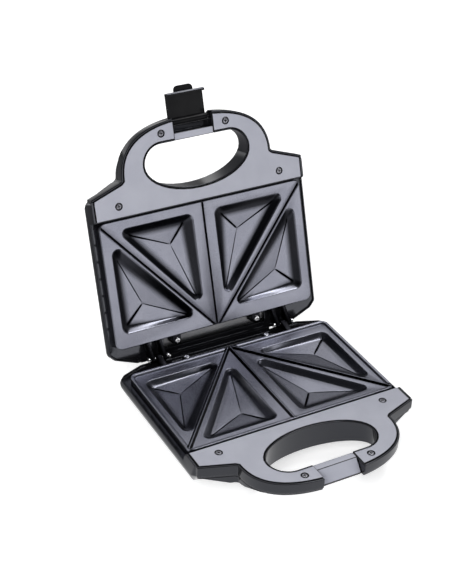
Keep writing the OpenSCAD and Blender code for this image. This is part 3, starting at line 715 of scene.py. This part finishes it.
def hook_lip():
    """The rounded lip along the end of the latch's hook."""
    mesh = bmesh.new()
    flat_w, flat_r = HOOK_LIP_HALF_W - HOOK_LIP_ROUND, HOOK_LIP_R - HOOK_LIP_ROUND
    shape = [(flat_w + HOOK_LIP_ROUND * math.sin(a), flat_r + HOOK_LIP_ROUND * math.cos(a))
             for a in (0.0, 0.8, math.pi / 2)]
    shape = [(-u, r) for u, r in shape[::-1]] + shape
    rings = [[mesh.verts.new(on_lid(u, y, drop)) for y, drop in circle(HOOK_LIP_Y, HOOK_LIP_DROP, r)]
             for u, r in shape]
    bridge(mesh, rings)
    mesh.faces.new(rings[0])
    mesh.faces.new(rings[-1])
    bmesh.ops.recalc_face_normals(mesh, faces=mesh.faces[:])
    show(mesh, "latch_lip", "latch", LATCH_LIP_HIGHLIGHT, SMOOTH_FORM)


# A pan head from its underside to its top, as (radius, depth below the top), and its shank
HEAD_H = 1.8
SHANK_R = 1.4
HEAD_SHAPE = ((2.8, HEAD_H), (2.85, 0.6), (2.7, 0.3), (2.35, 0.08), (2.1, 0.02))
TIP_R = 0.1
# One arm of the cross recess, the depth of its brim and of its floor
RECESS_ARM = ((1.75, -0.4), (1.75, 0.4), (0.4, 0.4))
RECESS_TOP = 0.02
RECESS_FLOOR = 0.9


def screw_heads(node, half, places, top, length, mat):
    """Pan heads with a cross recess, in place of a node of identical screws."""
    put = HALVES[half]
    mesh = bmesh.new()
    painted_shade = mesh.verts.layers.float.new("painted_shade")
    turn = [math.radians(10 * k) for k in range(36)]
    shape = ((TIP_R, HEAD_H + length), (SHANK_R, HEAD_H + length), (SHANK_R, HEAD_H), *HEAD_SHAPE)
    for x, y in places:
        rings = [[mesh.verts.new(put(x + r * math.cos(a), y + r * math.sin(a), top + deep))
                  for a in turn] for r, deep in shape]
        bridge(mesh, rings)
        mesh.faces.new(rings[0])
        cross = []
        for quarter in range(4):
            c, w = math.cos(quarter * math.pi / 2), math.sin(quarter * math.pi / 2)
            cross += [(x + u * c - v * w, y + u * w + v * c) for u, v in RECESS_ARM]
        brim = [mesh.verts.new(put(u, v, top + RECESS_TOP)) for u, v in cross]
        sunk = [mesh.verts.new(put(u, v, top + RECESS_FLOOR)) for u, v in cross]
        # the floor of the cross recess is painted dark as shade
        for vert in sunk:
            vert[painted_shade] = 1.0
        edges = [mesh.edges.get((rings[-1][k - 1], rings[-1][k])) for k in range(len(turn))]
        edges += [mesh.edges.new((brim[k - 1], brim[k])) for k in range(len(brim))]
        bmesh.ops.triangle_fill(mesh, use_beauty=True, edges=edges)
        bridge(mesh, [brim, sunk])
        mesh.faces.new(sunk)
    bmesh.ops.recalc_face_normals(mesh, faces=mesh.faces[:])
    show(mesh, node + "_form", half, mat, SMOOTH_FORM, node)


# How far the edges of housings, covers and latch are rounded
HOUSING_EASE = 0.6
COVER_EASE = 0.7
LATCH_EASE = 0.3
# Tops of the screw heads below the face of their half, and lengths of the shanks
COVER_SCREW = (0.2, 9)
PLATE_SCREW = (2.2, 11)

for half in ("base", "lid"):
    eased(half + "_housing", half, HOUSING, HOUSING_EASE)
for half in ("base", "lid"):
    # the covers' edges get painted shade
    eased(half + "_handle_cover", half, COVER, COVER_EASE, painted_dark_sides=True)
eased("latch", "latch", LATCH, LATCH_EASE)
hook_lip()
for half, cover, plate in (("base", "base_cover_screws", "lower_plate_screws"),
                           ("lid", "lid_cover_screws", "upper_plate_screws")):
    screw_heads(cover, half, COVER_SCREWS, *COVER_SCREW, ZINC)
    screw_heads(plate, half, PLATE_SCREWS, *PLATE_SCREW, STEEL)
plate_skin("lower_plate", "base")
plate_skin("upper_plate", "lid")

# Camera at the photograph's angle: sensor and lens give the photograph's field of view
VIEW_H = 584
FOCAL_PX = 1357.6
AZIMUTH = math.radians(-29.84)
ELEVATION = math.radians(32.73)
ROLL = math.radians(2.45)
DISTANCE = 1357.0
AIM_RIGHT, AIM_UP = 4.0, 48.5


def camera():
    """The photograph's camera, placed about the hinge axis."""
    back = Vector((math.sin(AZIMUTH) * math.cos(ELEVATION),
                   -math.cos(AZIMUTH) * math.cos(ELEVATION), math.sin(ELEVATION)))
    right = Vector((0, 0, 1)).cross(back).normalized()
    up = back.cross(right)
    tilted_right = math.cos(ROLL) * right + math.sin(ROLL) * up
    tilted_up = -math.sin(ROLL) * right + math.cos(ROLL) * up
    turn = Matrix((tilted_right, tilted_up, back)).transposed()
    data = bpy.data.cameras.new("camera")
    data.sensor_width = 36.0
    data.lens = FOCAL_PX / VIEW_H * data.sensor_width
    data.clip_start = 0.05
    data.clip_end = 20.0
    obj = bpy.data.objects.new("camera", data)
    place = turn @ Vector((AIM_RIGHT, AIM_UP, DISTANCE)) + Vector((0, HINGE_Y, HINGE_Z))
    obj.matrix_world = Matrix.Translation(place * MM) @ turn.to_4x4()
    bpy.context.scene.collection.objects.link(obj)
    bpy.context.scene.camera = obj


# Lamps as (name, way from the aim, reach, size, brightness, seen in gloss), lengths in metres
LIGHT_AIM = Vector((0, 0.07, 0.1))
CARDS = (("front", (0.42, -0.907, 0.03), 2.6, (2.2, 1.1), 1.27, True),
         ("rear", (0.42, 0.5, 0.76), 2.0, (1.45, 1.0), 1.45, True),
         ("over", (0.42, 0.0, 0.9), 2.0, (0.7, 0.7), 6.5, True),
         ("fill", (-0.6, -0.6, 0.55), 2.2, (1.6, 1.6), 4.5, False),
         ("behind", (-0.6, 0.75, 0.3), 2.4, (1.2, 1.2), 1.6, True))


def card(name, way, reach, size, glow, mirrored):
    """A soft light card, seen from the appliance in the direction of way; glow is its brightness."""
    way = Vector(way).normalized()
    data = bpy.data.lights.new(name, "AREA")
    data.shape = "RECTANGLE"
    data.size, data.size_y = size
    data.energy = glow * math.pi * size[0] * size[1]
    obj = bpy.data.objects.new(name, data)
    obj.location = LIGHT_AIM + way * reach
    obj.visible_glossy = mirrored
    obj.rotation_euler = (-way).to_track_quat("-Z", "Y").to_euler()
    bpy.context.scene.collection.objects.link(obj)


# The surroundings as (how far a ray points up, colour)
HORIZON = (0.05, (0.9, 0.9, 0.9))
LOW_SKY = (0.12, (0.19, 0.194, 0.204))
OVERHEAD = (0.42, (0.06, 0.062, 0.066))


def surroundings():
    """Surroundings that are white at the horizon and dark overhead."""
    world = bpy.data.worlds.new("studio")
    bpy.context.scene.world = world
    world.use_nodes = True
    tree = world.node_tree
    tree.nodes.clear()
    out = tree.nodes.new("ShaderNodeOutputWorld")
    sky = tree.nodes.new("ShaderNodeBackground")
    coords = tree.nodes.new("ShaderNodeTexCoord")
    apart = tree.nodes.new("ShaderNodeSeparateXYZ")
    tree.links.new(coords.outputs["Generated"], apart.inputs[0])
    shade = ramp(tree, apart.outputs["Z"], HORIZON[1], OVERHEAD[1], HORIZON[0], OVERHEAD[0])
    shade.node.color_ramp.elements.new(LOW_SKY[0]).color = (*LOW_SKY[1], 1.0)
    tree.links.new(shade, sky.inputs["Color"])
    tree.links.new(sky.outputs[0], out.inputs["Surface"])


# The floor: half its span, its colour for light and for the camera, the point in front of the grip
# from which its glow is measured, and the glow as (near value, far value, near, far) in metres
FLOOR_SPAN = 6.0
FLOOR_LIT = (0.35, 0.35, 0.36, 1)
FLOOR_SEEN = (0.9, 0.9, 0.9, 1)
GLOW_CENTRE = (-0.08, -0.3, 0)
GLOSSY_GLOW = (0.85, 0.02, 0.2, 0.5)
CAMERA_GLOW = (0.6, 0.92, 0.9, 2.6)


def pick(tree, kind, low, high, factor, end):
    """Mixes two values by a factor into an input."""
    node = tree.nodes.new("ShaderNodeMix")
    node.data_type = kind
    for socket, value in (("A", low), ("B", high)):
        if isinstance(value, tuple):
            node.inputs[socket].default_value = value
        else:
            tree.links.new(value, node.inputs[socket])
    tree.links.new(factor, node.inputs["Factor"])
    tree.links.new(node.outputs["Result"], end)


def combine(tree, kind, operation, one, two):
    """A number or vector from two others; returns the node."""
    node = tree.nodes.new(kind)
    node.operation = operation
    for socket, value in zip(node.inputs, (one, two)):
        if isinstance(value, tuple):
            socket.default_value = value
        elif value is not None:
            tree.links.new(value, socket)
    return node


def pale_floor():
    """A pale floor that glows for the camera and, close to the appliance, in gloss."""
    mesh = bpy.data.meshes.new("floor")
    corners = [(x * FLOOR_SPAN, y * FLOOR_SPAN, 0) for x, y in ((-1, -1), (1, -1), (1, 1), (-1, 1))]
    mesh.from_pydata(corners, [], [(0, 1, 2, 3)])
    floor = bpy.data.objects.new("floor", mesh)
    bpy.context.scene.collection.objects.link(floor)
    mat, tree, shader = material("floor_paint")
    shader.inputs["Roughness"].default_value = 0.9
    shader.inputs["Specular IOR Level"].default_value = 0.1
    rays = tree.nodes.new("ShaderNodeLightPath").outputs
    seen = rays["Is Camera Ray"]
    pick(tree, "RGBA", FLOOR_LIT, FLOOR_SEEN, seen, shader.inputs["Base Color"])
    coords = tree.nodes.new("ShaderNodeTexCoord").outputs["Object"]
    ahead = combine(tree, "ShaderNodeVectorMath", "SUBTRACT", coords, GLOW_CENTRE).outputs["Vector"]
    away = combine(tree, "ShaderNodeVectorMath", "LENGTH", ahead, None).outputs["Value"]
    mirrored = combine(tree, "ShaderNodeMath", "MAXIMUM", rays["Is Glossy Ray"],
                       rays["Is Transmission Ray"]).outputs[0]
    glow = combine(tree, "ShaderNodeMath", "MULTIPLY", level(tree, away, *GLOSSY_GLOW),
                   mirrored).outputs[0]
    pick(tree, "FLOAT", glow, level(tree, away, *CAMERA_GLOW), seen,
         shader.inputs["Emission Strength"])
    shader.inputs["Emission Color"].default_value = (1, 1, 1, 1)
    mesh.materials.append(mat)


camera()
surroundings()
pale_floor()
for lamp in CARDS:
    card(*lamp)
bpy.context.scene.view_settings.view_transform = "Standard"
